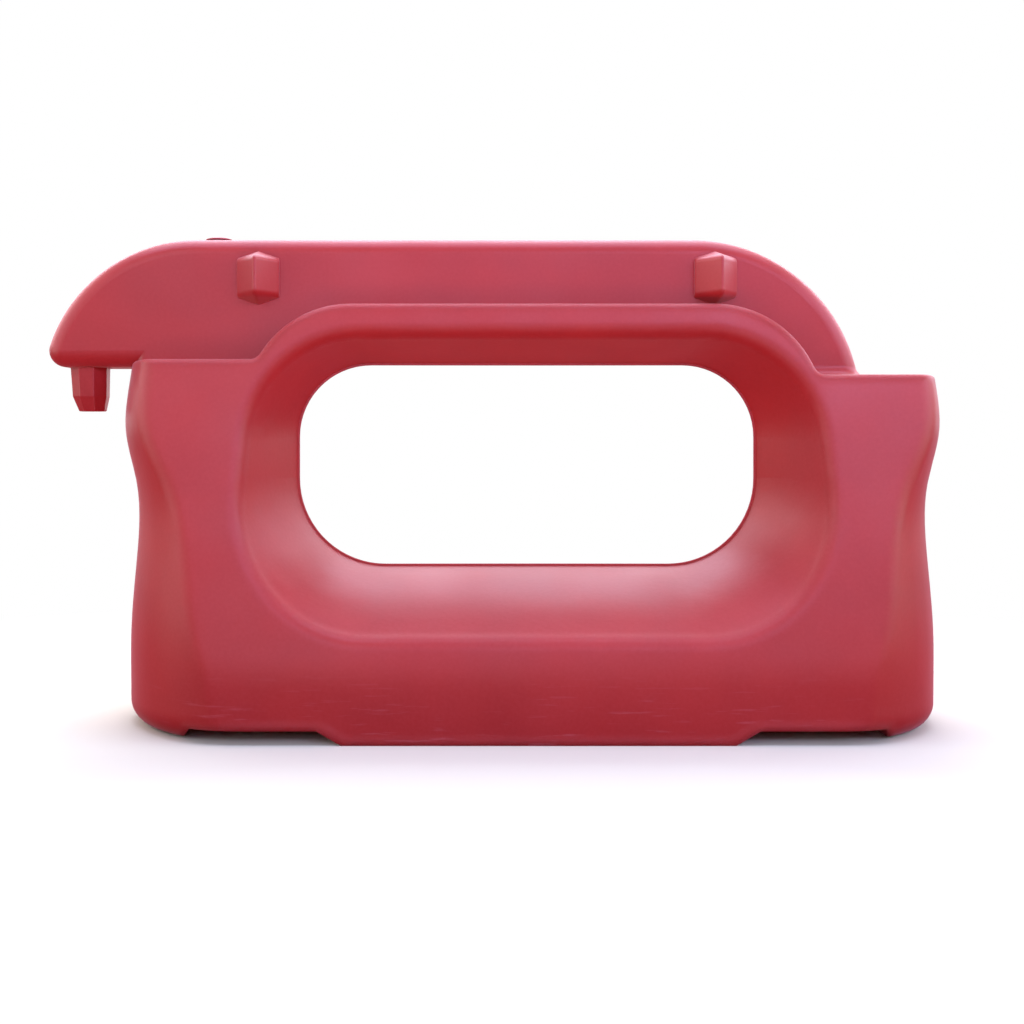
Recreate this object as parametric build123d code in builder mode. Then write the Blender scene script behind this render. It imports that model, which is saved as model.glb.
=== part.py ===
import os
from math import cos, radians, sqrt, tan

from build123d import *

os.makedirs("parts", exist_ok=True)

# Road barrier moulded as one hollow tank, with a screw closure to fill it and one to drain it.
# The origin is on the floor under the middle of the window. X runs along the barrier, with the
# hook at its negative end, and the back, with the drain, faces +Y.

# Moulding, and the slack with which edges are found by their place
wall = 5.0
touch = 0.5

# Window outline at mid depth
window_half_width = 366.0
window_sill_z = 243.0
window_height = 320.0
window_top_radius = 115.0
window_low_radius = 138.0

# Window walls, which flare from mid depth to both faces, by so much at the depth of the base's bend
window_side_flare = 94.8
window_soffit_flare = 63.2
window_corner_flare = 69.1
window_sill_drop = 96.2
window_sill_slope = 0.25
window_rim_radius = 22.0
window_land = 4.0
window_lip = 3.0
window_stations = (0.0, 0.3, 0.6, 1.0)

# Base and the faces that lean in above it
base_half_depth = 200.0
bend_below_sill = 138.0
bend_in = 2.5
bend_radius = 300.0
face_angle = 9.13

# Ends: bodies of revolution about two upright axes
column_width = 65.0
end_shift_x = 3.5
end_foot_radius = 38.0
end_kick_z = 140.0
end_waist_in = 8.5
end_waist_rise = 115.0
end_waist_height = 120.0
end_nose_out = 8.5
end_nose_rise = 85.0
end_top_in = 1.5
end_top_rise = 100.0
end_edge_radius = 30.0

# Arch over the window and the shoulders beside it
arch_band = 89.0
arch_side_band = 72.0
arch_radius = 159.0
arch_foot_radius = 19.0
left_shoulder_drop = 85.5
right_shoulder_drop = 109.0
ledge_radius = 7.5

# Underside, with channels whose ceiling hides where the seams of the ends begin
pad_slope_length = 36.0
channel_length = 188.0
channel_height = 21.0
seam_below_channel = 2.5
foot_slope_length = 15.0
foot_length = 110.0

# Rail and hook
rail_rise = 108.0
rail_half_depth = 55.0
rail_edge_radius = 25.0
rail_foot_radius = 17.0
rail_burial = 40.0
rail_end_setback = 171.5
rail_end_radius = 267.0
hook_overhang = 95.5
hook_radius = 245.0
hook_tip_radius = 26.0
hook_drop = 8.0
hook_root_cover = 3.0

# Coupling peg under the hook, and the socket that takes the next barrier's peg
peg_reach = 177.0
peg_width = 58.0
peg_waist_taper = 4.0
peg_tip_taper = 14.0
peg_waist_shift = 1.3
peg_tip_shift = 4.0
peg_straight = 46.0
peg_point = 24.0
peg_edge_radius = 3.0
joint_gap = 5.5
socket_clearance = 5.0
socket_floor_gap = 18.0

# Stacking lugs on both faces of the rail
lug_pitch = 716.0
lug_centre_x = -67.5
lug_rise = 16.0
lug_half_width = 33.0
lug_side_height = 58.0
lug_hip = 13.0
lug_cheek = 8.0
lug_reach = 53.0
lug_root = 15.0
lug_edge_radius = 10.0
lug_ridge_radius = 3.5

# Screw closures, the same at the filler and the drain
sleeve_radius = 20.0
sleeve_wall = 3.0
sleeve_length = 22.0
flange_width = 5.0
flange_height = 3.0
hole_gap = 0.3
thread_gap = 0.3
gasket_step = 1.0
gasket_height = 2.0
gasket_gap = 0.5
head_step = 4.0
head_rim = 2.0
head_dome = 3.5
head_web = 2.0
shank_length = 15.0
shank_wall = 4.0
grip_rim = 8.0
grip_bar = 8.0
grip_depth = 5.0

# Filler on the rail above the hook, its flange let in flush with a low boss
filler_inset = 30.5
filler_proud = 1.5
boss_land = 2.0
boss_flare = 12.0
boss_height = 15.0

# Drain in a recess low on the back
drain_x = 0.0
drain_z = 50.0
drain_recess_depth = 13.5
drain_recess_margin = 11.0

# Heights and lengths that follow
bend_z = window_sill_z - bend_below_sill
window_top_z = window_sill_z + window_height
arch_top_z = window_top_z + arch_band
rail_top_z = arch_top_z + rail_rise
left_shoulder_z = arch_top_z - left_shoulder_drop
right_shoulder_z = arch_top_z - right_shoulder_drop
hook_under_z = left_shoulder_z - hook_drop
bend_half_depth = base_half_depth - bend_in
window_side_slope = window_side_flare / bend_half_depth
window_soffit_slope = window_soffit_flare / bend_half_depth
window_corner_slope = window_corner_flare / bend_half_depth
window_sill_roll = (window_sill_drop - window_sill_slope * bend_half_depth) / bend_half_depth**2
seam_z = channel_height - seam_below_channel
seam_half_depth = base_half_depth - bend_in * seam_z / bend_z
foot_draw = end_foot_radius - sqrt(end_foot_radius**2 - (end_foot_radius - seam_z) ** 2)
end_base_r = seam_half_depth + foot_draw
end_waist_r = end_base_r - end_waist_in
end_nose_r = end_base_r + end_nose_out
end_top_r = end_base_r - end_top_in
waist_low_z = end_kick_z + end_waist_rise
waist_high_z = waist_low_z + end_waist_height
nose_z = waist_high_z + end_nose_rise
end_top_z = nose_z + end_top_rise
end_axis_x = window_half_width + column_width
reach = end_axis_x + 2 * end_nose_r
channel_outer_x = end_axis_x + end_base_r - foot_length - foot_slope_length
channel_inner_x = channel_outer_x - channel_length
pad_half_length = channel_inner_x - pad_slope_length
arch_centre_x = window_half_width + arch_side_band - arch_radius
rail_end_x = end_axis_x - rail_end_setback
hook_arc_x = -end_axis_x - hook_overhang
peg_x = hook_arc_x - peg_reach
peg_waist_z = hook_under_z - peg_straight
peg_tip_z = peg_waist_z - peg_point
peg_waist_width = peg_width - peg_waist_taper
peg_tip_width = peg_waist_width - peg_tip_taper
socket_x = peg_x + 2 * (end_axis_x + end_nose_r) + joint_gap
flange_radius = sleeve_radius + flange_width
bore_radius = sleeve_radius - sleeve_wall
shank_radius = bore_radius - thread_gap
head_radius = flange_radius - head_step
boss_radius = flange_radius + boss_land
filler_at = (hook_arc_x + filler_inset, 0, rail_top_z + filler_proud - flange_height)
filler_seat = Plane(origin=filler_at, x_dir=(1, 0, 0), z_dir=(0, 0, 1))
drain_at = (drain_x, bend_half_depth - drain_recess_depth, drain_z)
drain_seat = Plane(origin=drain_at, x_dir=(1, 0, 0), z_dir=(0, 1, 0))


def face_half_depth(z):
    """Half depth of the leaning faces at a height."""
    return bend_half_depth - tan(radians(face_angle)) * (z - bend_z)


def nearest_vertex(sketch, x, y):
    """The sketch corner nearest to a point in the sketch's own plane."""
    return sketch.vertices().sort_by_distance((x, y, 0))[0]


def arch_x_at(z, inset=0):
    """How far the arch's flank stands from its middle at a height, drawn in by inset."""
    return arch_centre_x + sqrt((arch_radius - inset) ** 2 - (z - arch_top_z + arch_radius) ** 2)


def rail_end_at(z, inset=0):
    """Where the rail's right end lies at a height, drawn in by inset."""
    return rail_end_x + sqrt((rail_end_radius - inset) ** 2 - (z - rail_top_z + rail_end_radius) ** 2)


def sill_drop_at(out):
    """How far the sill has fallen at a distance out from mid depth."""
    return window_sill_slope * out + window_sill_roll * out**2


def end_form(side, inset):
    """One rounded end, turned from its profile of foot, waist and nose."""
    axis_x = side * end_axis_x + end_shift_x
    profile_plane = Plane(origin=(axis_x, 0, 0), x_dir=(side, 0, 0), z_dir=(0, -side, 0))
    foot_x = end_base_r - end_foot_radius
    with BuildPart() as end:
        with BuildSketch(profile_plane):
            with BuildLine():
                Line((0, inset), (foot_x, inset))
                RadiusArc((foot_x, inset), (end_base_r - inset, end_foot_radius), inset - end_foot_radius)
                Spline(
                    (end_base_r - inset, end_foot_radius),
                    (end_base_r - inset, end_kick_z),
                    (end_waist_r - inset, waist_low_z),
                    (end_waist_r - inset, waist_high_z),
                    (end_nose_r - inset, nose_z),
                    (end_top_r - inset, end_top_z),
                    (end_top_r - inset, rail_top_z),
                    tangents=((0, 1), (0, 1)),
                )
                Polyline((end_top_r - inset, rail_top_z), (0, rail_top_z), (0, inset))
            make_face()
        revolve(axis=Axis((axis_x, 0, 0), (0, 0, 1)))
    return end.part


def body_form(inset):
    """Base, leaning faces, ends, shoulders and arch, drawn in by inset."""
    ends = [end_form(side, inset) for side in (-1, 1)]
    face_inset = inset / cos(radians(face_angle))
    stock_half_depth = base_half_depth + end_nose_r
    arch_r = arch_radius - inset
    arch_z = arch_top_z - arch_radius
    left_z = left_shoulder_z - inset
    right_z = right_shoulder_z - inset
    left_foot_x = -arch_x_at(left_z, inset)
    right_foot_x = arch_x_at(right_z, inset)
    with BuildPart() as body:
        with BuildSketch(Plane.XZ):
            with Locations((end_shift_x, inset)):
                Rectangle(2 * end_axis_x, rail_top_z - inset, align=(Align.CENTER, Align.MIN))
        extrude(amount=stock_half_depth, both=True)
        add(ends)
        with BuildSketch(Plane.YZ) as side_profile:
            with BuildLine():
                Polyline(
                    (face_inset - base_half_depth, 0),
                    (face_inset - bend_half_depth, bend_z),
                    (face_inset - face_half_depth(rail_top_z), rail_top_z),
                    (face_half_depth(rail_top_z) - face_inset, rail_top_z),
                    (bend_half_depth - face_inset, bend_z),
                    (base_half_depth - face_inset, 0),
                    close=True,
                )
            make_face()
            for side in (-1, 1):
                fillet(nearest_vertex(side_profile, side * bend_half_depth, bend_z), radius=bend_radius)
        extrude(amount=reach, both=True, mode=Mode.INTERSECT)
        with BuildSketch(Plane.XZ):
            for side in (-1, 1):
                with BuildLine():
                    Polyline(
                        (side * (pad_half_length - inset), -wall),
                        (side * (pad_half_length - inset), inset),
                        (side * (channel_inner_x - inset), channel_height + inset),
                        (side * (channel_outer_x + inset), channel_height + inset),
                        (side * (channel_outer_x + foot_slope_length + inset), inset),
                        (side * (channel_outer_x + foot_slope_length + inset), -wall),
                        close=True,
                    )
                make_face()
        extrude(amount=reach, both=True, mode=Mode.SUBTRACT)
        creases = body.edges().filter_by(
            lambda e: abs(e.center().X) > end_axis_x + wall
            and abs(e.center().Y) > rail_half_depth
            and channel_height + wall < e.center().Z < rail_top_z - wall
        )
        fillet(creases, radius=end_edge_radius - inset)
        with BuildSketch(Plane.XZ) as outline:
            with BuildLine():
                Polyline(
                    (left_foot_x, left_z),
                    (-reach, left_z),
                    (-reach, -wall),
                    (reach, -wall),
                    (reach, right_z),
                    (right_foot_x, right_z),
                )
                RadiusArc((right_foot_x, right_z), (arch_centre_x, arch_z + arch_r), -arch_r)
                Line((arch_centre_x, arch_z + arch_r), (-arch_centre_x, arch_z + arch_r))
                RadiusArc((-arch_centre_x, arch_z + arch_r), (left_foot_x, left_z), -arch_r)
            make_face()
            fillet(nearest_vertex(outline, left_foot_x, left_z), radius=arch_foot_radius + inset)
            fillet(nearest_vertex(outline, right_foot_x, right_z), radius=arch_foot_radius + inset)
        extrude(amount=reach, both=True, mode=Mode.INTERSECT)
        if inset == 0:
            ledges = body.edges(Select.NEW).filter_by(
                lambda e: abs(e.center().Y) > rail_half_depth
                or abs(e.center().X) > end_axis_x + rail_half_depth
            )
            fillet(ledges, radius=ledge_radius)
    return body.part


def rail_form(inset):
    """Top rail with the hook at one end, drawn in by inset, its lower part buried in the body.

    A plate level with the right shoulder carries the hollow round of the rail's foot there.
    """
    top_z = rail_top_z - inset
    under_z = hook_under_z + inset
    buried_z = right_shoulder_z - rail_burial
    hook_r = hook_radius - inset
    tip_x = hook_arc_x - sqrt(hook_r**2 - (under_z - rail_top_z + hook_radius) ** 2)
    end_x = rail_end_at(buried_z, inset)
    foot_start_x = arch_x_at(right_shoulder_z + rail_foot_radius)
    foot_end_x = rail_end_at(right_shoulder_z)
    root_reach = sqrt(end_top_r**2 - rail_half_depth**2)
    root_x = end_shift_x - end_axis_x - root_reach + hook_root_cover + 2 * inset
    with BuildPart() as rail:
        with BuildSketch(Plane.XZ) as outline:
            with BuildLine():
                Line((hook_arc_x, top_z), (rail_end_x, top_z))
                RadiusArc((rail_end_x, top_z), (end_x, buried_z), rail_end_radius - inset)
                Polyline((end_x, buried_z), (root_x, buried_z), (root_x, under_z), (tip_x, under_z))
                RadiusArc((tip_x, under_z), (hook_arc_x, top_z), hook_r)
            make_face()
            fillet(nearest_vertex(outline, tip_x, under_z), radius=hook_tip_radius - inset)
        extrude(amount=rail_half_depth - inset, both=True)
        rim = rail.edges().filter_by(
            lambda e: abs(e.center().Y) > rail_edge_radius
            and abs(e.center().X - root_x) > touch
            and e.center().Z > buried_z + touch
        )
        fillet(rim, radius=rail_edge_radius - inset)
        if inset == 0:
            with BuildSketch(Plane.XY.offset(right_shoulder_z)):
                with Locations((foot_start_x, 0)):
                    Rectangle(
                        foot_end_x - foot_start_x + 2 * rail_foot_radius,
                        2 * rail_half_depth + 4 * rail_foot_radius,
                        align=(Align.MIN, Align.CENTER),
                    )
            extrude(amount=-rail_burial / 2)
            foot = rail.edges().filter_by(
                lambda e: abs(e.center().Z - right_shoulder_z) < touch
                and abs(e.center().Y) < rail_half_depth + touch
                and e.center().X < foot_end_x + touch
            )
            fillet(foot, radius=rail_foot_radius)
    return rail.part


def window_form(inset):
    """Space of the window: a straight land at mid depth, then walls that flare to both faces."""
    grow = inset * sqrt(1 + window_side_slope**2)
    cut_y = base_half_depth + end_nose_r
    lip = 0 if inset else window_lip
    start = 0 if inset else window_land / 2
    with BuildPart() as space:
        for side in (-1, 1):
            for station in window_stations:
                out = station * cut_y
                low = window_sill_z - grow - lip - sill_drop_at(out)
                high = window_top_z + grow + lip + window_soffit_slope * out
                half_w = window_half_width + grow + lip + window_side_slope * out
                more_r = grow + lip + window_corner_slope * out
                with BuildSketch(Plane.XZ.offset(side * (start + out))) as section:
                    with Locations((0, low)):
                        Rectangle(2 * half_w, high - low, align=(Align.CENTER, Align.MIN))
                    fillet(section.vertices().group_by(Axis.Y)[-1], radius=window_top_radius + more_r)
                    fillet(section.vertices().group_by(Axis.Y)[0], radius=window_low_radius + more_r)
            loft()
        with BuildSketch(Plane.XZ) as land:
            with Locations((0, window_sill_z - grow)):
                Rectangle(
                    2 * (window_half_width + grow),
                    window_height + 2 * grow,
                    align=(Align.CENTER, Align.MIN),
                )
            fillet(land.vertices().group_by(Axis.Y)[-1], radius=window_top_radius + grow)
            fillet(land.vertices().group_by(Axis.Y)[0], radius=window_low_radius + grow)
        extrude(amount=window_land, both=True)
    return space.part


def lug_form(x, side, inset):
    """Stacking lug on a face of the rail: two upright faces that meet in a ridge, hipped above and below."""
    slope = (lug_reach - lug_cheek) / lug_half_width
    hip_slope = lug_hip / lug_reach * sqrt(1 + slope**2)
    half_w = lug_half_width - inset
    half_h = lug_side_height / 2 - inset * sqrt(1 + hip_slope**2)
    root_y = rail_half_depth - lug_root
    tip_y = rail_half_depth + lug_reach
    span = tip_y - root_y + lug_half_width
    with BuildPart() as lug:
        with BuildSketch(Plane.XY.offset(arch_top_z)):
            with Locations((x, side * (root_y + tip_y) / 2)):
                Rectangle(2 * half_w, tip_y - root_y)
        extrude(amount=rail_rise)
        for turn in (-1, 1):
            across_face = Plane(
                origin=(x, side * tip_y, arch_top_z + lug_rise + lug_side_height / 2),
                x_dir=(-turn * slope, -side, 0),
                z_dir=(-side, turn * slope, 0),
            )
            with BuildSketch(across_face) as section:
                with BuildLine():
                    Polyline(
                        (inset, -half_h - hip_slope * inset),
                        (inset, half_h + hip_slope * inset),
                        (span, half_h + hip_slope * span),
                        (span, -half_h - hip_slope * span),
                        close=True,
                    )
                make_face()
                if inset == 0:
                    fillet(section.vertices().group_by(Axis.X)[0], radius=lug_edge_radius)
            extrude(amount=reach, both=True, mode=Mode.INTERSECT)
        if inset == 0:
            upright = lug.edges().filter_by(
                lambda e: abs(e.center().Y) > root_y + touch
                and min(abs(e.center().X - x), abs(abs(e.center().X - x) - half_w)) < touch
            )
            fillet(upright, radius=lug_ridge_radius)
    return lug.part


def eight_sided(x, levels):
    """Upright eight-sided form through levels of height, sideways shift and width across flats."""
    with BuildPart() as form:
        for z, shift, width in levels:
            with BuildSketch(Plane.XY.offset(z)):
                with Locations((x + shift, 0)):
                    RegularPolygon(width / 2, 8, major_radius=False, rotation=22.5)
        loft(ruled=True)
    return form.part


def peg_form(inset):
    """Tapered peg under the hook, with a blunt point that leans back."""
    levels = (
        (hook_under_z + rail_edge_radius, 0, peg_width - 2 * inset),
        (hook_under_z, 0, peg_width - 2 * inset),
        (peg_waist_z, peg_waist_shift, peg_waist_width - 2 * inset),
        (peg_tip_z + inset, peg_tip_shift, peg_tip_width - 2 * inset),
    )
    blank = eight_sided(peg_x, levels)
    with BuildPart() as peg:
        add(blank)
        if inset == 0:
            below = peg.edges().filter_by(lambda e: e.center().Z < hook_under_z - touch)
            fillet(below, radius=peg_edge_radius)
    return peg.part


def socket_form(inset):
    """Space in the right shoulder for the next barrier's peg."""
    mouth = peg_width + 2 * (socket_clearance + inset)
    levels = (
        (right_shoulder_z + ledge_radius, 0, mouth),
        (right_shoulder_z, 0, mouth),
        (peg_tip_z - socket_floor_gap - inset, 0, peg_tip_width + 2 * (socket_clearance + inset)),
    )
    return eight_sided(socket_x, levels)


def skin_form(inset):
    """The whole moulding as a solid, drawn in by inset."""
    body = body_form(inset)
    rail = rail_form(inset)
    window = window_form(inset)
    lug_xs = (lug_centre_x - lug_pitch / 2, lug_centre_x + lug_pitch / 2)
    lugs = [lug_form(x, side, inset) for x in lug_xs for side in (-1, 1)]
    peg = peg_form(inset)
    socket = socket_form(inset)
    with BuildPart() as skin:
        add(body)
        add(rail)
        add(window, mode=Mode.SUBTRACT)
        rim = skin.edges(Select.NEW).filter_by(lambda e: abs(e.center().Y) > rail_half_depth)
        fillet(rim, radius=window_rim_radius - inset)
        add(lugs)
        add(peg)
        add(socket, mode=Mode.SUBTRACT)
        with BuildSketch(drain_seat.offset(-inset)):
            Circle(flange_radius + drain_recess_margin + inset)
        extrude(amount=base_half_depth, mode=Mode.SUBTRACT)
    return skin.part


def bush(seat):
    """Threaded bush: a sleeve through the wall, with a flange on its seat."""
    with BuildPart() as piece:
        with BuildSketch(seat):
            Circle(flange_radius)
        extrude(amount=flange_height)
        with BuildSketch(seat):
            Circle(sleeve_radius)
        extrude(amount=-sleeve_length)
        with BuildSketch(seat.offset(flange_height)):
            Circle(bore_radius)
        extrude(amount=-flange_height - sleeve_length, mode=Mode.SUBTRACT)
    return piece


def gasket(seat):
    """Flat ring on the bush, under the head that clamps it."""
    with BuildPart() as piece:
        with BuildSketch(seat.offset(flange_height)):
            Circle(head_radius - gasket_step)
            Circle(shank_radius + gasket_gap, mode=Mode.SUBTRACT)
        extrude(amount=gasket_height)
    return piece


def screw_cap(seat):
    """Hollow screw cap: a shank in the bush, and a low domed head with a bar to grip in a hollow."""
    under_z = flange_height + gasket_height
    web_z = under_z - head_web
    rim_z = under_z + head_rim
    top_z = rim_z + head_dome
    dome_radius = (head_radius**2 + head_dome**2) / (2 * head_dome)
    section = Plane(origin=seat.origin, x_dir=seat.x_dir, z_dir=seat.x_dir.cross(seat.z_dir))
    with BuildPart() as piece:
        with BuildSketch(section):
            with BuildLine():
                Polyline(
                    (0, top_z),
                    (0, web_z),
                    (shank_radius - shank_wall, web_z),
                    (shank_radius - shank_wall, -shank_length),
                    (shank_radius, -shank_length),
                    (shank_radius, under_z),
                    (head_radius, under_z),
                    (head_radius, rim_z),
                )
                RadiusArc((head_radius, rim_z), (0, top_z), -dome_radius)
            make_face()
        revolve(axis=Axis(seat.origin, seat.z_dir))
        with BuildSketch(seat.offset(top_z)):
            Circle(head_radius - grip_rim)
            Rectangle(2 * head_radius, grip_bar, mode=Mode.SUBTRACT)
        extrude(amount=-grip_depth, mode=Mode.SUBTRACT)
    return piece


outer_skin = skin_form(0)
inner_skin = skin_form(wall)

with BuildPart() as barrier_shell:
    add(outer_skin)
    with Locations(filler_seat.offset(flange_height)):
        Cone(
            boss_radius + boss_flare,
            boss_radius,
            boss_height,
            align=(Align.CENTER, Align.CENTER, Align.MAX),
        )
    add(inner_skin, mode=Mode.SUBTRACT)
    with BuildSketch(filler_seat):
        Circle(flange_radius + hole_gap)
    extrude(amount=flange_height, mode=Mode.SUBTRACT)
    for seat in (filler_seat, drain_seat):
        with BuildSketch(seat.offset(flange_height)):
            Circle(sleeve_radius + hole_gap)
        extrude(amount=-flange_height - sleeve_length, mode=Mode.SUBTRACT)

pieces = {
    "barrier_shell": barrier_shell,
    "filler_bush": bush(filler_seat),
    "filler_gasket": gasket(filler_seat),
    "filler_cap": screw_cap(filler_seat),
    "drain_bush": bush(drain_seat),
    "drain_gasket": gasket(drain_seat),
    "drain_plug": screw_cap(drain_seat),
}
for name, piece in pieces.items():
    piece.part.label = name
    export_step(piece.part, f"parts/{name}.step")
    print(name, round(piece.part.volume), "mm3")
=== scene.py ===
"""Looks of a hollow road barrier moulded in red polyethylene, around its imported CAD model.

Everything is in metres in the model's own frame: X along the barrier, Y from front to back, Z up.
The moulded shell is the CAD solid itself. The closures, the scraped parting lines and the trimmed
edge of the window are surfaces worked out here.
"""

from math import pi, radians

import bmesh
import bpy
import numpy as np
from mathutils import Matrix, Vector


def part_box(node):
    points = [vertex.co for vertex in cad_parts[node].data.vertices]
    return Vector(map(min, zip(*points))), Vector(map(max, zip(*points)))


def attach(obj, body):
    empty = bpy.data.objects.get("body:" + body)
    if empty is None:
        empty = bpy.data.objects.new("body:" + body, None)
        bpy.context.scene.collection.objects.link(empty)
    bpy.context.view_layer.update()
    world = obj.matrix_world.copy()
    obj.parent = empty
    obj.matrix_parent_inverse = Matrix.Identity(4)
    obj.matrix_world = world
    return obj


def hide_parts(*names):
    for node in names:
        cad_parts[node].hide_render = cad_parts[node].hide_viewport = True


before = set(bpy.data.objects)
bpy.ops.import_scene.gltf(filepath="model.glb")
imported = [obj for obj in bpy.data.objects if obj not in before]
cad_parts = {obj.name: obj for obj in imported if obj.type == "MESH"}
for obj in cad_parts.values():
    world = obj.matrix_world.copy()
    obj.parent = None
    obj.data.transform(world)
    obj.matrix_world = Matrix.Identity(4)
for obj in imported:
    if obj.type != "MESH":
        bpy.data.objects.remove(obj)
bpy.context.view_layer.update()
MM = 0.001

# Screw closures, as the CAD has them
FLANGE_RADIUS = 25.0 * MM
FLANGE_HEIGHT = 3.0 * MM
SLEEVE_RADIUS = 20.0 * MM
SLEEVE_LENGTH = 22.0 * MM
BORE_RADIUS = 17.0 * MM
GASKET_HEIGHT = 2.0 * MM
GASKET_INNER = 17.2 * MM
GASKET_OUTER = 20.0 * MM
HEAD_RADIUS = 21.0 * MM
HEAD_RIM = 2.0 * MM
HEAD_DOME = 3.5 * MM
HEAD_WEB = 2.0 * MM
SHANK_RADIUS = 16.7 * MM
SHANK_LENGTH = 15.0 * MM
SHANK_BORE = 12.7 * MM
GRIP_RADIUS = 13.0 * MM
GRIP_BAR = 8.0 * MM
GRIP_DEPTH = 5.0 * MM
THREAD_PITCH = 5.0 * MM

# Detail of the closures that only the looks have. The ridge and flank are shares of the pitch.
FLANGE_ROUND = 0.7 * MM
HEAD_ROUND = 0.7 * MM
GRIP_SLOPE = 1.0 * MM
THREAD_DEPTH = 1.1 * MM
THREAD_RUNOUT = 1.6 * MM
THREAD_HALF_RIDGE = 0.36
THREAD_FLANK = 0.16
FLUTES = 28
FLUTE_DEPTH = 0.45 * MM
GASKET_SQUARENESS = 0.4

# Points round a closure, along its longer runs and round its edges
AROUND = 224
DOME_STEPS = 72
SHANK_STEPS = 72
BORE_STEPS = 84
GASKET_STEPS = 40
ROUND_STEPS = 6

# Every new piece: edges that turn by more than this are sharp, and points closer than this are one
SHARP_ABOVE = radians(40)
MERGE_WITHIN = 1e-6

# Parting lines and trimmed edge: half their width, their height, and where they start and stop
SEAM_HALF_WIDTH = 0.9 * MM
SEAM_HEIGHT = 0.45 * MM
TRIM_HALF_WIDTH = 1.0 * MM
TRIM_HEIGHT = 0.4 * MM
SEAM_STEPS = 320
SEAM_SIDES = 10
SEAM_TAPER_STEPS = 4
HOOK_TIP_GAP = 22 * MM
FILLER_GAP = 14 * MM
RAIL_SEAM_END_X = 515 * MM
LEFT_OF_BODY_X = -660 * MM
FOOT_SEAM_Z = 30 * MM
LEFT_SHOULDER_SEAM_Z = 552 * MM
RIGHT_SHOULDER_SEAM_Z = 534 * MM
WINDOW_MIDDLE_Z = 403 * MM

# Floor: half its side, and where it fades to white, in shares of an oval round the barrier
FLOOR_HALF = 8.0
FLOOR_OVAL = (1.5, 1.0)
FLOOR_FADE = (0.5, 1.3)

# Camera: level, in front of the barrier, with the picture's centre off its line of sight
CAMERA_AT = (-172.0 * MM, -1988.5 * MM, 458.7 * MM)
CAMERA_LENS = 43.33
CAMERA_SENSOR = 36.0
CAMERA_SHIFT = (0.0898, -0.0801)

# Directions in which the softboxes shine
DOWN, UP = (0, 0, -1), (0, 0, 1)
FORWARD, BACK = (0, -1, 0), (0, 1, 0)
LEFT, RIGHT = (-1, 0, 0), (1, 0, 0)

# Softboxes: name, middle, direction, width and height, brightness and colour
SOFTBOXES = [
    ("overhead_front", (0, -0.8, 3.2), DOWN, (4.0, 0.8), 4.3, "#C0C0FF"),
    ("overhead", (0, 0.25, 3.2), DOWN, (4.0, 1.3), 4.0, "#DEDEFF"),
    ("overhead_back", (0, 1.65, 3.2), DOWN, (2.8, 1.5), 6.8, "#E4E4FF"),
    ("back_high", (0, 2.6, 2.75), FORWARD, (3.4, 0.9), 3.1, "#E6E6FF"),
    ("back_left", (-2.7, 2.6, 2.75), FORWARD, (1.8, 1.2), 5.9, "#EAEAFF"),
    ("back_right", (2.7, 2.6, 2.75), FORWARD, (1.8, 1.2), 5.9, "#EAEAFF"),
    ("back_mid", (0, 2.6, 1.9), FORWARD, (3.6, 0.8), 2.0, "#ECECFF"),
    ("back_low", (0, 2.6, 0.825), FORWARD, (3.6, 1.35), 1.2, "#FFDCE0"),
    ("front", (-0.25, -3.4, 1.3), BACK, (1.5, 0.9), 4.5, "#C6C6FF"),
    ("front_left", (-2.0, -3.4, 2.35), BACK, (2.0, 1.7), 2.3, "#E2E2FF"),
    ("front_right", (1.75, -3.4, 1.9), BACK, (2.5, 0.8), 8.1, "#C2C2FF"),
    ("left_front", (-3.0, -1.65, 1.95), RIGHT, (2.7, 1.7), 1.7, "#E2E2FF"),
    ("left_low", (-3.0, -1.65, 0.6), RIGHT, (2.7, 1.0), 2.3, "#ECFFFF"),
    ("left_back", (-3.0, 1.05, 1.95), RIGHT, (2.7, 1.7), 2.9, "#FFEAF2"),
    ("right_front", (3.0, -1.65, 1.95), LEFT, (2.7, 1.7), 4.1, "#CDCDFF"),
    ("right_low", (3.0, -1.65, 0.6), LEFT, (2.7, 1.0), 2.0, "#DAFFF8"),
    ("right_back", (3.0, 1.05, 1.95), LEFT, (2.7, 1.7), 3.1, "#F4E2FF"),
    ("floor_near", (0, -1.225, 0.004), UP, (1.4, 0.75), 2.1, "#FFD7D7"),
    ("floor_far", (0, -2.3, 0.004), UP, (1.4, 1.4), 1.9, "#CDCDFF"),
]


def linear(hex_code):
    """Turns an sRGB hex colour into the linear RGBA that shaders take."""
    srgb = np.array([int(hex_code[i:i + 2], 16) for i in (1, 3, 5)]) / 255
    rgb = np.where(srgb <= 0.04045, srgb / 12.92, ((srgb + 0.055) / 1.055) ** 2.4)
    return (*rgb, 1.0)


def add(tree, kind, inputs=None, **settings):
    """Adds one node with its settings, and sets or links each of its inputs that is named."""
    made = tree.nodes.new(kind)
    for name, value in settings.items():
        setattr(made, name, value)
    for socket, value in (inputs or {}).items():
        if isinstance(value, bpy.types.NodeSocket):
            tree.links.new(value, made.inputs[socket])
        else:
            made.inputs[socket].default_value = value
    return made


def new_material(name):
    """A material with an empty node tree, and that tree."""
    material = bpy.data.materials.new(name)
    material.use_nodes = True
    material.node_tree.nodes.clear()
    return material, material.node_tree


def show(tree, shader):
    """Sends a shader to the material's surface."""
    add(tree, "ShaderNodeOutputMaterial", {"Surface": shader.outputs[0]})


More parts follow.
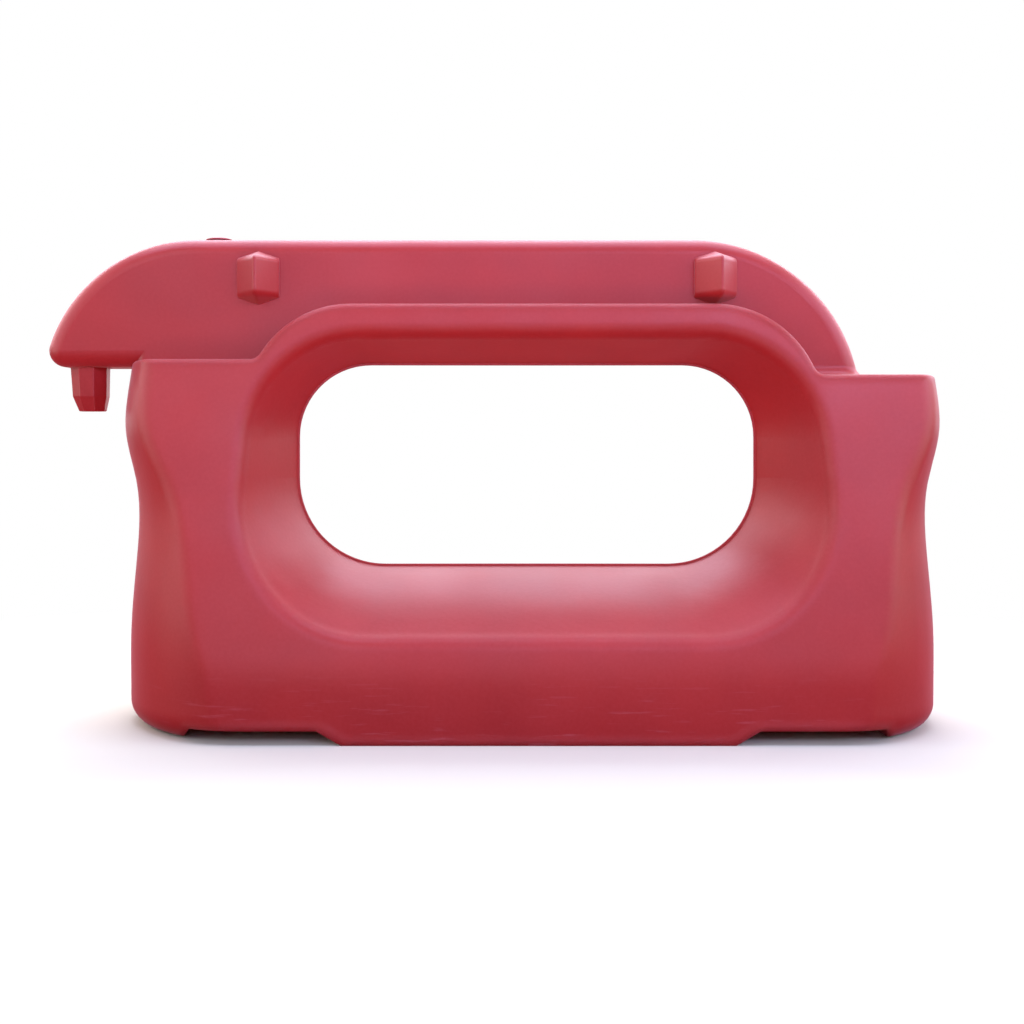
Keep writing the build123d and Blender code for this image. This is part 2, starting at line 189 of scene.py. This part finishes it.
def moulded_polyethylene():
    """Rotationally moulded polyethylene, coloured through.

    The powder melts against a blasted mould, so the eye gets a satin skin with a faint orange peel,
    slow waves in its highlights, cloudy colour, a soft bloom where it is seen edge on, and paler scuffs
    low down where the barrier is dragged. Edges below the rail are shaded as the soft rounds that
    powder leaves.
    """
    cloud_size = 170 * MM
    # Powder grains are under 0.5 mm, drawn at 5 mm so that they show at all
    grain_size = 5 * MM
    scuff_length, scuff_height = 60 * MM, 5 * MM
    scuff_paleness, scuff_dullness = 0.35, 0.18
    scuffs_end_z, scuffs_full_z = 130 * MM, 5 * MM
    peel_size, peel_depth = 7 * MM, 0.10 * MM
    wave_size, wave_depth = 120 * MM, 1.2 * MM
    edge_radius = 18 * MM
    soft_from_y, soft_full_y = 50 * MM, 90 * MM
    soft_until_z, soft_full_z = 680 * MM, 660 * MM

    material, tree = new_material("moulded_polyethylene_red")
    place = add(tree, "ShaderNodeTexCoord").outputs["Object"]
    _, depth, height = add(tree, "ShaderNodeSeparateXYZ", {"Vector": place}).outputs
    cloud = add(tree, "ShaderNodeTexNoise", {
        "Vector": place, "Scale": 1 / cloud_size, "Detail": 3.0, "Roughness": 0.5})
    cloud_colour = add(tree, "ShaderNodeValToRGB", {"Fac": cloud.outputs["Fac"]})
    dark, light = cloud_colour.color_ramp.elements
    dark.position = 0.32
    dark.color = linear("#AA2424")
    light.position = 0.70
    light.color = linear("#B62A28")
    grain = add(tree, "ShaderNodeTexNoise", {"Vector": place, "Scale": 1 / grain_size, "Detail": 2.0})
    grain_share = add(tree, "ShaderNodeMapRange", {
        "Value": grain.outputs["Fac"], "From Min": 0.35, "From Max": 0.75, "To Min": 0.0, "To Max": 0.10})
    grained = add(tree, "ShaderNodeMix", {
        "Factor": grain_share.outputs["Result"], "A": cloud_colour.outputs["Color"],
        "B": linear("#CC4A4E")}, data_type="RGBA")

    low_band = add(tree, "ShaderNodeMapRange", {
        "Value": height, "From Min": scuffs_end_z, "From Max": scuffs_full_z},
        interpolation_type="SMOOTHSTEP")
    streak_place = add(tree, "ShaderNodeMapping", {
        "Vector": place, "Scale": (1 / scuff_length, 1 / scuff_length, 1 / scuff_height)})
    streak = add(tree, "ShaderNodeTexNoise", {
        "Vector": streak_place.outputs["Vector"], "Scale": 1.0, "Detail": 4.0})
    streak_edge = add(tree, "ShaderNodeMapRange", {
        "Value": streak.outputs["Fac"], "From Min": 0.60, "From Max": 0.72},
        interpolation_type="SMOOTHSTEP")
    scuff = add(tree, "ShaderNodeMath", {
        0: streak_edge.outputs["Result"], 1: low_band.outputs["Result"]}, operation="MULTIPLY")
    scuff_share = add(tree, "ShaderNodeMath", {
        0: scuff.outputs[0], 1: scuff_paleness}, operation="MULTIPLY")
    worn = add(tree, "ShaderNodeMix", {
        "Factor": scuff_share.outputs[0], "A": grained.outputs["Result"], "B": linear("#C9666C")},
        data_type="RGBA")

    peel = add(tree, "ShaderNodeTexNoise", {"Vector": place, "Scale": 1 / peel_size, "Detail": 1.5})
    wave = add(tree, "ShaderNodeTexNoise", {"Vector": place, "Scale": 1 / wave_size, "Detail": 1.0})
    off_middle = add(tree, "ShaderNodeMath", {0: depth}, operation="ABSOLUTE")
    toward_face = add(tree, "ShaderNodeMapRange", {
        "Value": off_middle.outputs[0], "From Min": soft_from_y, "From Max": soft_full_y},
        interpolation_type="SMOOTHSTEP")
    below_rail = add(tree, "ShaderNodeMapRange", {
        "Value": height, "From Min": soft_until_z, "From Max": soft_full_z, "To Max": edge_radius})
    soft_radius = add(tree, "ShaderNodeMath", {
        0: toward_face.outputs["Result"], 1: below_rail.outputs["Result"]}, operation="MULTIPLY")
    soft_edges = add(tree, "ShaderNodeBevel", {"Radius": soft_radius.outputs[0]}, samples=6)
    wave_bump = add(tree, "ShaderNodeBump", {
        "Height": wave.outputs["Fac"], "Strength": 1.0, "Distance": wave_depth,
        "Normal": soft_edges.outputs["Normal"]})
    peel_bump = add(tree, "ShaderNodeBump", {
        "Height": peel.outputs["Fac"], "Strength": 1.0, "Distance": peel_depth,
        "Normal": wave_bump.outputs["Normal"]})

    gloss = add(tree, "ShaderNodeMapRange", {
        "Value": wave.outputs["Fac"], "From Min": 0.3, "From Max": 0.7, "To Min": 0.38, "To Max": 0.46})
    roughness = add(tree, "ShaderNodeMath", {
        0: scuff.outputs[0], 1: scuff_dullness, 2: gloss.outputs["Result"]}, operation="MULTIPLY_ADD")
    shader = add(tree, "ShaderNodeBsdfPrincipled", {
        "Base Color": worn.outputs["Result"], "Roughness": roughness.outputs[0], "IOR": 1.51,
        "Sheen Weight": 0.35, "Sheen Roughness": 0.35, "Sheen Tint": linear("#FFE6E0"),
        "Normal": peel_bump.outputs["Normal"]})
    show(tree, shader)
    return material


def injection_polyethylene():
    """Injection-moulded polyethylene: a finer, glossier skin than the tank's, with a fine spark grain."""
    # Spark grain is about 0.2 mm wide, drawn at 1.2 mm so that it shows
    grain_size, grain_depth = 1.2 * MM, 0.05 * MM
    cloud_size = 14 * MM
    material, tree = new_material("injection_moulded_polyethylene_red")
    place = add(tree, "ShaderNodeTexCoord").outputs["Object"]
    grain = add(tree, "ShaderNodeTexNoise", {"Vector": place, "Scale": 1 / grain_size, "Detail": 2.0})
    cloud = add(tree, "ShaderNodeTexNoise", {"Vector": place, "Scale": 1 / cloud_size, "Detail": 2.0})
    tint = add(tree, "ShaderNodeMix", {
        "Factor": cloud.outputs["Fac"], "A": linear("#A01C28"), "B": linear("#B12834")}, data_type="RGBA")
    bump = add(tree, "ShaderNodeBump", {
        "Height": grain.outputs["Fac"], "Strength": 0.6, "Distance": grain_depth})
    gloss = add(tree, "ShaderNodeMapRange", {
        "Value": cloud.outputs["Fac"], "From Min": 0.3, "From Max": 0.7, "To Min": 0.32, "To Max": 0.42})
    shader = add(tree, "ShaderNodeBsdfPrincipled", {
        "Base Color": tint.outputs["Result"], "Roughness": gloss.outputs["Result"], "IOR": 1.51,
        "Normal": bump.outputs["Normal"]})
    show(tree, shader)
    return material


def scraped_polyethylene():
    """Polyethylene scraped with a blade where the mould parts: dull, paler, with fine drag marks."""
    # A blade's marks are under 0.5 mm apart, drawn at 3 mm so that they show
    drag_size, drag_depth = 3 * MM, 0.10 * MM
    material, tree = new_material("scraped_polyethylene_edge")
    place = add(tree, "ShaderNodeTexCoord").outputs["Object"]
    drag = add(tree, "ShaderNodeTexNoise", {"Vector": place, "Scale": 1 / drag_size, "Detail": 3.0})
    tint = add(tree, "ShaderNodeMix", {
        "Factor": drag.outputs["Fac"], "A": linear("#A8323C"), "B": linear("#C8727A")}, data_type="RGBA")
    bump = add(tree, "ShaderNodeBump", {
        "Height": drag.outputs["Fac"], "Strength": 0.7, "Distance": drag_depth})
    shader = add(tree, "ShaderNodeBsdfPrincipled", {
        "Base Color": tint.outputs["Result"], "Roughness": 0.62, "IOR": 1.51,
        "Normal": bump.outputs["Normal"]})
    show(tree, shader)
    return material


def moulded_rubber():
    """Compression-moulded black rubber: matte, nearly black, with a dusty bloom in patches."""
    bloom_size, bloom_depth = 6 * MM, 0.05 * MM
    material, tree = new_material("moulded_rubber_black")
    place = add(tree, "ShaderNodeTexCoord").outputs["Object"]
    bloom = add(tree, "ShaderNodeTexNoise", {"Vector": place, "Scale": 1 / bloom_size, "Detail": 3.0})
    tint = add(tree, "ShaderNodeMix", {
        "Factor": bloom.outputs["Fac"], "A": linear("#1B1B1C"), "B": linear("#2E2D2D")}, data_type="RGBA")
    bump = add(tree, "ShaderNodeBump", {
        "Height": bloom.outputs["Fac"], "Strength": 0.5, "Distance": bloom_depth})
    shader = add(tree, "ShaderNodeBsdfPrincipled", {
        "Base Color": tint.outputs["Result"], "Roughness": 0.68, "IOR": 1.52,
        "Normal": bump.outputs["Normal"]})
    show(tree, shader)
    return material


def grid_piece(name, points, closed_rows, material, body):
    """A piece from a grid of points whose columns run round and close, and whose rows may close too.

    Rows that shrink to one point become poles, as their doubles are merged.
    """
    rows, columns = points.shape[:2]
    index = np.arange(rows * columns).reshape(rows, columns)
    below = np.roll(index, -1, axis=0)
    corners = np.stack([index, below, np.roll(below, -1, axis=1), np.roll(index, -1, axis=1)], axis=-1)
    if not closed_rows:
        corners = corners[:-1]
    mesh = bpy.data.meshes.new(name)
    mesh.from_pydata(points.reshape(-1, 3).tolist(), [], corners.reshape(-1, 4).tolist())
    shape = bmesh.new()
    shape.from_mesh(mesh)
    bmesh.ops.remove_doubles(shape, verts=shape.verts, dist=MERGE_WITHIN)
    bmesh.ops.recalc_face_normals(shape, faces=shape.faces)
    shape.to_mesh(mesh)
    shape.free()
    mesh.polygons.foreach_set("use_smooth", np.ones(len(mesh.polygons), bool))
    mesh.set_sharp_from_angle(angle=SHARP_ABOVE)
    mesh.materials.append(material)
    piece = bpy.data.objects.new(name, mesh)
    bpy.context.scene.collection.objects.link(piece)
    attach(piece, body)
    return piece


def smooth(x):
    """Rises smoothly from 0 to 1 as x goes from 0 to 1."""
    x = np.clip(x, 0, 1)
    return x * x * (3 - 2 * x)


def run(start, end, count):
    """Points on a straight line of a profile, from start up to but without its end."""
    return np.linspace(start, end, count, endpoint=False)


def bend(centre, radius, start_deg, end_deg):
    """Points on a round of a profile, in radius and height, from one angle to another."""
    angle = np.radians(np.linspace(start_deg, end_deg, ROUND_STEPS, endpoint=False))
    return np.stack([centre[0] + radius * np.cos(angle), centre[1] + radius * np.sin(angle)], axis=-1)


def crest(height, angle):
    """Screw thread in shares of its depth: a flat-topped ridge that climbs one pitch in each turn."""
    phase = np.mod(height / THREAD_PITCH - angle / (2 * pi), 1.0)
    return smooth((THREAD_HALF_RIDGE - np.abs(phase - 0.5)) / THREAD_FLANK)


def turned(seat, radius, height, angle):
    """Points at a radius, a height and an angle about the axis of a closure's seat."""
    origin, across, side, axis = seat
    return (origin + (radius * np.cos(angle))[..., None] * across
            + (radius * np.sin(angle))[..., None] * side + height[..., None] * axis)


def seat_of(bush, across, side, axis):
    """Where a closure sits: the middle of its bush's flange on the wall, and the directions there."""
    low, high = (np.array(corner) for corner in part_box(bush))
    axis = np.array(axis, float)
    middle = (low + high) / 2
    top = middle + axis * (np.abs(axis) @ (high - low)) / 2
    return top - axis * FLANGE_HEIGHT, np.array(across, float), np.array(side, float), axis


def cap_points(seat):
    """Screw cap: a low dome with a grip bar between two hollows, a fluted rim and a threaded shank.

    The profile runs from the middle of the dome out and down, along the shank and back up its bore.
    The dome is part of a sphere, and the points of its rounded edge start 10 degrees past its end.
    The hollows lower the dome to a floor, the flutes draw in the rim, and the thread is cut into the shank.
    """
    angle = np.linspace(0, 2 * pi, AROUND, endpoint=False)
    flat = np.ones(AROUND)
    under = FLANGE_HEIGHT + GASKET_HEIGHT
    web = under - HEAD_WEB
    top = under + HEAD_RIM + HEAD_DOME
    shank_root = SHANK_RADIUS - THREAD_DEPTH

    dome_radius = (HEAD_RADIUS**2 + HEAD_DOME**2) / (2 * HEAD_DOME)
    dome_r = np.linspace(0, HEAD_RADIUS - HEAD_ROUND, DOME_STEPS)
    dome_h = top - dome_radius + np.sqrt(dome_radius**2 - dome_r**2)
    radius = np.repeat(dome_r[:, None], AROUND, axis=1)
    height = np.repeat(dome_h[:, None], AROUND, axis=1)
    hollow = smooth((GRIP_RADIUS - radius) / GRIP_SLOPE)
    hollow = hollow * smooth((np.abs(radius * np.sin(angle)) - GRIP_BAR / 2) / GRIP_SLOPE)
    height = height + hollow * (top - GRIP_DEPTH - height)

    edge_h = dome_h[-1] - HEAD_ROUND
    rim = np.concatenate([
        bend((HEAD_RADIUS - HEAD_ROUND, edge_h), HEAD_ROUND, 80, 0),
        run((HEAD_RADIUS, edge_h), (HEAD_RADIUS, under + HEAD_ROUND), 8),
        bend((HEAD_RADIUS - HEAD_ROUND, under + HEAD_ROUND), HEAD_ROUND, 0, -90),
        run((HEAD_RADIUS - HEAD_ROUND, under), (shank_root, under), 4),
    ])
    flute = FLUTE_DEPTH * (0.5 - 0.5 * np.cos(FLUTES * angle)) ** 2
    on_rim = smooth((rim[:, 0] - HEAD_RADIUS + 2 * HEAD_ROUND) / HEAD_ROUND)
    rim_r = rim[:, :1] - on_rim[:, None] * flute

    shank_h = np.linspace(under, -SHANK_LENGTH, SHANK_STEPS)
    fade_in = smooth((under - THREAD_RUNOUT - shank_h) / THREAD_RUNOUT)
    fade_out = smooth((shank_h + SHANK_LENGTH) / THREAD_RUNOUT)
    thread = (fade_in * fade_out)[:, None] * crest(shank_h[:, None], angle)
    shank_r = shank_root + THREAD_DEPTH * thread

    inside = np.concatenate([
        run((shank_root, -SHANK_LENGTH), (SHANK_BORE, -SHANK_LENGTH), 3),
        run((SHANK_BORE, -SHANK_LENGTH), (SHANK_BORE, web), 6),
        np.linspace((SHANK_BORE, web), (0, web), 5),
    ])[1:]
    radius = np.concatenate([radius, rim_r, shank_r, inside[:, :1] * flat])
    height = np.concatenate([height, rim[:, 1:] * flat, shank_h[:, None] * flat, inside[:, 1:] * flat])
    return turned(seat, radius, height, angle)


def bush_points(seat):
    """Threaded bush: a flange with a rounded edge on a sleeve, its bore cut by the cap's thread.

    The profile runs out over the flange, down the sleeve and back up the bore, and is turned about the
    axis. The bore's radius grows by the thread's depth along the thread, and less near its two ends.
    """
    angle = np.linspace(0, 2 * pi, AROUND, endpoint=False)
    flat = np.ones(AROUND)
    round_at = (FLANGE_RADIUS - FLANGE_ROUND, FLANGE_HEIGHT - FLANGE_ROUND)
    outside = np.concatenate([
        run((BORE_RADIUS, FLANGE_HEIGHT), (FLANGE_RADIUS - FLANGE_ROUND, FLANGE_HEIGHT), 6),
        bend(round_at, FLANGE_ROUND, 90, 0),
        run((FLANGE_RADIUS, FLANGE_HEIGHT - FLANGE_ROUND), (FLANGE_RADIUS, 0), 3),
        run((FLANGE_RADIUS, 0), (SLEEVE_RADIUS, 0), 3),
        run((SLEEVE_RADIUS, 0), (SLEEVE_RADIUS, -SLEEVE_LENGTH), 8),
        run((SLEEVE_RADIUS, -SLEEVE_LENGTH), (BORE_RADIUS, -SLEEVE_LENGTH), 3),
    ])
    bore_h = np.linspace(-SLEEVE_LENGTH, FLANGE_HEIGHT, BORE_STEPS, endpoint=False)
    fade_in = smooth((bore_h + SLEEVE_LENGTH) / THREAD_RUNOUT)
    fade_out = smooth((FLANGE_HEIGHT - bore_h) / THREAD_RUNOUT)
    thread = (fade_in * fade_out)[:, None] * crest(bore_h[:, None], angle)
    bore_r = BORE_RADIUS + THREAD_DEPTH * thread
    radius = np.concatenate([outside[:, :1] * flat, bore_r])
    height = np.concatenate([outside[:, 1:] * flat, bore_h[:, None] * flat])
    return turned(seat, radius, height, angle)


def gasket_points(seat):
    """Flat ring of rubber: a squared-off oval section turned about the closure's axis.

    The section's width and height follow the cosine and sine of an angle, raised to a small power.
    """
    angle = np.linspace(0, 2 * pi, AROUND, endpoint=False)
    flat = np.ones(AROUND)
    around = np.linspace(0, 2 * pi, GASKET_STEPS, endpoint=False)
    cos, sin = np.cos(around), np.sin(around)
    half_width = (GASKET_OUTER - GASKET_INNER) / 2
    radius = GASKET_INNER + half_width + half_width * np.sign(cos) * np.abs(cos) ** GASKET_SQUARENESS
    height = FLANGE_HEIGHT + GASKET_HEIGHT / 2 * (1 + np.sign(sin) * np.abs(sin) ** GASKET_SQUARENESS)
    return turned(seat, radius[:, None] * flat, height[:, None] * flat, angle)


def middle_section(node):
    """Segments, each two points of X and Z, in which a plane at mid depth cuts a node's triangles.

    An edge is cut at the share of its length where its Y passes the plane. The plane lies a hair behind
    Y = 0, so that it passes through no corner of the mesh.
    """
    plane_y = 0.013 * MM
    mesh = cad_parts[node].data
    mesh.calc_loop_triangles()
    corners = np.empty(len(mesh.loop_triangles) * 3, np.int32)
    mesh.loop_triangles.foreach_get("vertices", corners)
    places = np.empty(len(mesh.vertices) * 3, np.float32)
    mesh.vertices.foreach_get("co", places)
    start = places.reshape(-1, 3).astype(float)[corners.reshape(-1, 3)]
    end = np.roll(start, -1, axis=1)
    y_start, y_end = start[..., 1] - plane_y, end[..., 1] - plane_y
    crosses = y_start * y_end < 0
    cut = crosses.any(axis=1)
    start, end, y_start, y_end, crosses = (a[cut] for a in (start, end, y_start, y_end, crosses))
    share = np.where(crosses, y_start / np.where(crosses, y_start - y_end, 1), 0)
    points = (start + (end - start) * share[..., None])[..., [0, 2]]
    order = np.argsort(~crosses, axis=1, kind="stable")[:, :2]
    return np.take_along_axis(points, order[..., None], axis=1)


def envelope(segments, samples, along, outermost):
    """The outermost place, across, of the section at each sample along X (0) or Z (1).

    Each segment that spans a sample is read on the straight line between its ends.
    """
    shortest = 1e-9
    a, b = segments[:, 0], segments[:, 1]
    run_a, run_b = a[:, along], b[:, along]
    spread = np.where(np.abs(run_b - run_a) < shortest, shortest, run_b - run_a)
    share = (samples[:, None] - run_a) / spread
    inside = (share >= 0) & (share <= 1)
    across = a[:, 1 - along] + share * (b[:, 1 - along] - a[:, 1 - along])
    lost = -np.inf if outermost is np.max else np.inf
    return outermost(np.where(inside, across, lost), axis=1)


def window_ring(segments, middle):
    """Where rays from the middle of the window first meet the section, and the directions back.

    Cross products give how far along a ray, and how far along a segment, the two lines meet.
    """
    parallel, slack = 1e-12, 1e-6
    angle = np.linspace(0, 2 * pi, 2 * SEAM_STEPS, endpoint=False)
    ray = np.stack([np.cos(angle), np.sin(angle)], axis=-1)
    a = segments[:, 0] - middle
    edge = segments[:, 1] - segments[:, 0]
    facing = ray[:, :1] * edge[:, 1] - ray[:, 1:] * edge[:, 0]
    facing = np.where(np.abs(facing) < parallel, parallel, facing)
    reach = (a[:, 0] * edge[:, 1] - a[:, 1] * edge[:, 0]) / facing
    share = (a[:, 0] * ray[:, 1:] - a[:, 1] * ray[:, :1]) / facing
    hit = (reach > 0) & (share >= -slack) & (share <= 1 + slack)
    nearest = np.where(hit, reach, np.inf).min(axis=1)
    return middle + ray * nearest[:, None], -ray


def outward_of(path, turn):
    """Directions square to an open path in X and Z, to its left for a turn of 1 and its right for -1."""
    along = np.gradient(path, axis=0)
    along = along / np.linalg.norm(along, axis=1, keepdims=True)
    return turn * np.stack([-along[:, 1], along[:, 0]], axis=-1)


def bead_points(path, outward, half_width, height, closed):
    """A fine ridge: a low oval section, half sunk in the wall, carried along a path at mid depth.

    The section spreads along Y and stands up along the outward direction. An open path's ends shrink
    to points.
    """
    round_angle = np.linspace(0, 2 * pi, SEAM_SIDES, endpoint=False)
    steps = len(path)
    taper = np.ones(steps)
    if not closed:
        share = np.arange(steps) / (steps - 1)
        taper = np.clip(np.minimum(share, 1 - share) * steps / SEAM_TAPER_STEPS, 0, 1)
    spread = half_width * taper[:, None] * np.cos(round_angle)
    rise = height * taper[:, None] * np.sin(round_angle)
    points = np.zeros((steps, SEAM_SIDES, 3))
    points[..., 0] = path[:, :1] + outward[:, :1] * rise
    points[..., 1] = spread
    points[..., 2] = path[:, 1:] + outward[:, 1:] * rise
    return points


def make_floor():
    """A pale floor that keeps the shadow near the barrier and fades to the white behind it.

    To the camera it is pale paint. To the barrier it gives back the light of red clay ground.
    """
    corners = [(-FLOOR_HALF, -FLOOR_HALF, 0), (FLOOR_HALF, -FLOOR_HALF, 0),
               (FLOOR_HALF, FLOOR_HALF, 0), (-FLOOR_HALF, FLOOR_HALF, 0)]
    mesh = bpy.data.meshes.new("floor")
    mesh.from_pydata(corners, [], [(0, 1, 2, 3)])
    floor = bpy.data.objects.new("floor", mesh)
    bpy.context.scene.collection.objects.link(floor)
    material, tree = new_material("floor_paint_white")
    place = add(tree, "ShaderNodeTexCoord").outputs["Object"]
    oval = add(tree, "ShaderNodeMapping", {
        "Vector": place, "Scale": (1 / FLOOR_OVAL[0], 1 / FLOOR_OVAL[1], 1.0)})
    distance = add(tree, "ShaderNodeVectorMath", {0: oval.outputs["Vector"]}, operation="LENGTH")
    far = add(tree, "ShaderNodeMapRange", {
        "Value": distance.outputs["Value"], "From Min": FLOOR_FADE[0], "From Max": FLOOR_FADE[1]},
        interpolation_type="SMOOTHSTEP")
    seen = add(tree, "ShaderNodeLightPath").outputs["Is Camera Ray"]
    paint = add(tree, "ShaderNodeBsdfDiffuse", {"Color": linear("#EEF0D4")})
    white = add(tree, "ShaderNodeEmission", {"Color": linear("#FFFFFF"), "Strength": 1.0})
    ground = add(tree, "ShaderNodeBsdfDiffuse", {"Color": linear("#A64C4C")})
    shown = add(tree, "ShaderNodeMixShader", {
        0: far.outputs["Result"], 1: paint.outputs[0], 2: white.outputs[0]})
    shader = add(tree, "ShaderNodeMixShader", {0: seen, 1: ground.outputs[0], 2: shown.outputs[0]})
    show(tree, shader)
    mesh.materials.append(material)


def make_world():
    """White to the camera and in gloss and clear pieces, with no light of its own beyond that."""
    world = bpy.data.worlds.new("studio")
    bpy.context.scene.world = world
    world.use_nodes = True
    tree = world.node_tree
    tree.nodes.clear()
    ray = add(tree, "ShaderNodeLightPath").outputs
    mirrored = add(tree, "ShaderNodeMath", {
        0: ray["Is Camera Ray"], 1: ray["Is Glossy Ray"]}, operation="MAXIMUM")
    seen = add(tree, "ShaderNodeMath", {
        0: mirrored.outputs[0], 1: ray["Is Transmission Ray"]}, operation="MAXIMUM")
    white = add(tree, "ShaderNodeBackground", {"Color": linear("#FFFFFF"), "Strength": seen.outputs[0]})
    add(tree, "ShaderNodeOutputWorld", {"Surface": white.outputs[0]})


def add_softbox(name, place, facing, size, radiance, colour):
    """A rectangular soft light of an even brightness that shines along a direction."""
    lamp = bpy.data.lights.new(name, "AREA")
    lamp.shape = "RECTANGLE"
    lamp.size, lamp.size_y = size
    lamp.energy = pi * radiance * size[0] * size[1]
    lamp.color = linear(colour)[:3]
    softbox = bpy.data.objects.new(name, lamp)
    softbox.location = place
    softbox.rotation_euler = Vector(facing).to_track_quat("-Z", "Y").to_euler()
    softbox.visible_camera = False
    bpy.context.scene.collection.objects.link(softbox)


def make_camera():
    """The camera at the photograph's viewing angle."""
    lens = bpy.data.cameras.new("camera")
    lens.lens = CAMERA_LENS
    lens.sensor_width = CAMERA_SENSOR
    lens.shift_x, lens.shift_y = CAMERA_SHIFT
    camera = bpy.data.objects.new("camera", lens)
    camera.location = CAMERA_AT
    camera.rotation_euler = (pi / 2, 0, 0)
    bpy.context.scene.collection.objects.link(camera)
    bpy.context.scene.camera = camera


shell_red = moulded_polyethylene()
closure_red = injection_polyethylene()
scraped = scraped_polyethylene()
rubber = moulded_rubber()

shell_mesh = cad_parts["barrier_shell"].data
shell_mesh.materials.clear()
shell_mesh.materials.append(shell_red)

# Seat of each closure, and the bodies that its cap and its rubber ring ride on
CLOSURES = {
    "filler": (seat_of("filler_bush", (1, 0, 0), (0, 1, 0), (0, 0, 1)), "filler_cap", "filler_ring"),
    "drain": (seat_of("drain_bush", (1, 0, 0), (0, 0, -1), (0, 1, 0)), "drain_plug", "drain_ring"),
}
for closure, (seat, cap, ring) in CLOSURES.items():
    bush = grid_piece(
        f"{closure}_threaded_bush", bush_points(seat), True, closure_red, "shell")
    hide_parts(f"{closure}_bush")
    gasket = grid_piece(f"{closure}_rubber_ring", gasket_points(seat), True, rubber, ring)
    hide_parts(f"{closure}_gasket")
    screw = grid_piece(f"{closure}_screw_cap", cap_points(seat), False, closure_red, cap)
    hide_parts(cap)

section = middle_section("barrier_shell")
shell_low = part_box("barrier_shell")[0]
boss_low, boss_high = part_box("filler_bush")

# Parting lines over the rail, from the hook to the filler and from the filler to the right end
RAIL_SPANS = {
    "hook": (shell_low.x + HOOK_TIP_GAP, boss_low.x - FILLER_GAP),
    "rail": (boss_high.x + FILLER_GAP, RAIL_SEAM_END_X),
}
for part, (from_x, to_x) in RAIL_SPANS.items():
    x = np.linspace(from_x, to_x, SEAM_STEPS)
    path = np.stack([x, envelope(section, x, 0, np.max)], axis=-1)
    points = bead_points(path, outward_of(path, 1), SEAM_HALF_WIDTH, SEAM_HEIGHT, False)
    grid_piece(f"parting_line_{part}", points, False, scraped, "shell")

# Parting lines down the two ends, from the foot to the shoulder. The hook and peg hang past the left one.
right_of_hook = section[section[..., 0].min(axis=1) > LEFT_OF_BODY_X]
END_SPANS = {
    "left": (right_of_hook, np.min, 1, LEFT_SHOULDER_SEAM_Z),
    "right": (section, np.max, -1, RIGHT_SHOULDER_SEAM_Z),
}
for part, (cuts, outermost, turn, shoulder_z) in END_SPANS.items():
    z = np.linspace(FOOT_SEAM_Z, shoulder_z, SEAM_STEPS)
    path = np.stack([envelope(cuts, z, 1, outermost), z], axis=-1)
    points = bead_points(path, outward_of(path, turn), SEAM_HALF_WIDTH, SEAM_HEIGHT, False)
    grid_piece(f"parting_line_{part}", points, False, scraped, "shell")

# Trimmed edge round the window, where its two halves meet
ring_path, ring_inward = window_ring(section, np.array([0.0, WINDOW_MIDDLE_Z]))
points = bead_points(ring_path, ring_inward, TRIM_HALF_WIDTH, TRIM_HEIGHT, True)
grid_piece("window_trimmed_edge", points, True, scraped, "shell")

make_floor()
make_world()
for name, *box in SOFTBOXES:
    add_softbox(f"{name}_softbox", *box)
make_camera()
bpy.context.scene.view_settings.view_transform = "Standard"
